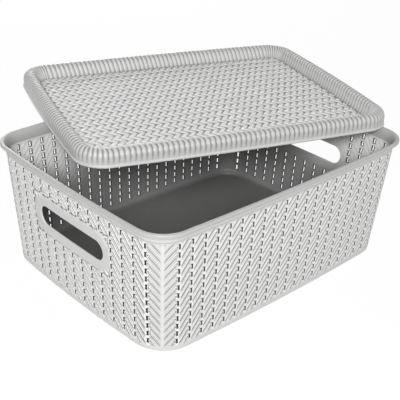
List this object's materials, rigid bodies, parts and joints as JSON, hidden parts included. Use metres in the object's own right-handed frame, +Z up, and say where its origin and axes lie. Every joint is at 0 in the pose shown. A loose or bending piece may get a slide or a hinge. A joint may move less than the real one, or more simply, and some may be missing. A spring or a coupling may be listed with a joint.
{
  "type": "lidded storage box",
  "caption": "Rectangular plastic storage box with pierced knit-pattern walls, a hand hole in each end, a flared rim and a loose tray-shaped lid with a ribbed border.",
  "frame": {"origin": "centre of the basket's underside, on the surface it stands on", "axes": "+X along the basket's length, +Y from its front wall to its back wall, +Z up"},
  "size_m": [0.4682, 0.4102, 0.1617],
  "materials": {
    "basket_plastic": "pale warm grey moulded plastic, satin, with a raised knit pattern",
    "lid_plastic": "pale warm grey moulded plastic, satin, with a woven panel and a ribbed border"
  },
  "bodies": {
    "basket": {"basket_floor": "basket_plastic", "basket_front_wall": "basket_plastic", "basket_back_wall": "basket_plastic", "basket_left_wall": "basket_plastic", "basket_right_wall": "basket_plastic", "basket_corner_front_left": "basket_plastic", "basket_corner_front_right": "basket_plastic", "basket_corner_back_left": "basket_plastic", "basket_corner_back_right": "basket_plastic", "basket_rim_front": "basket_plastic", "basket_rim_back": "basket_plastic", "basket_rim_left": "basket_plastic", "basket_rim_right": "basket_plastic", "basket_rim_front_left": "basket_plastic", "basket_rim_front_right": "basket_plastic", "basket_rim_back_left": "basket_plastic", "basket_rim_back_right": "basket_plastic"},
    "lid": {"lid_panel": "lid_plastic", "lid_border": "lid_plastic"}
  },
  "joints": [
    {"name": "lid_lift", "type": "slide", "parent": "basket", "child": "lid", "axis": [0, 0, 1], "range_m": [0, 0.16]}
  ]
}
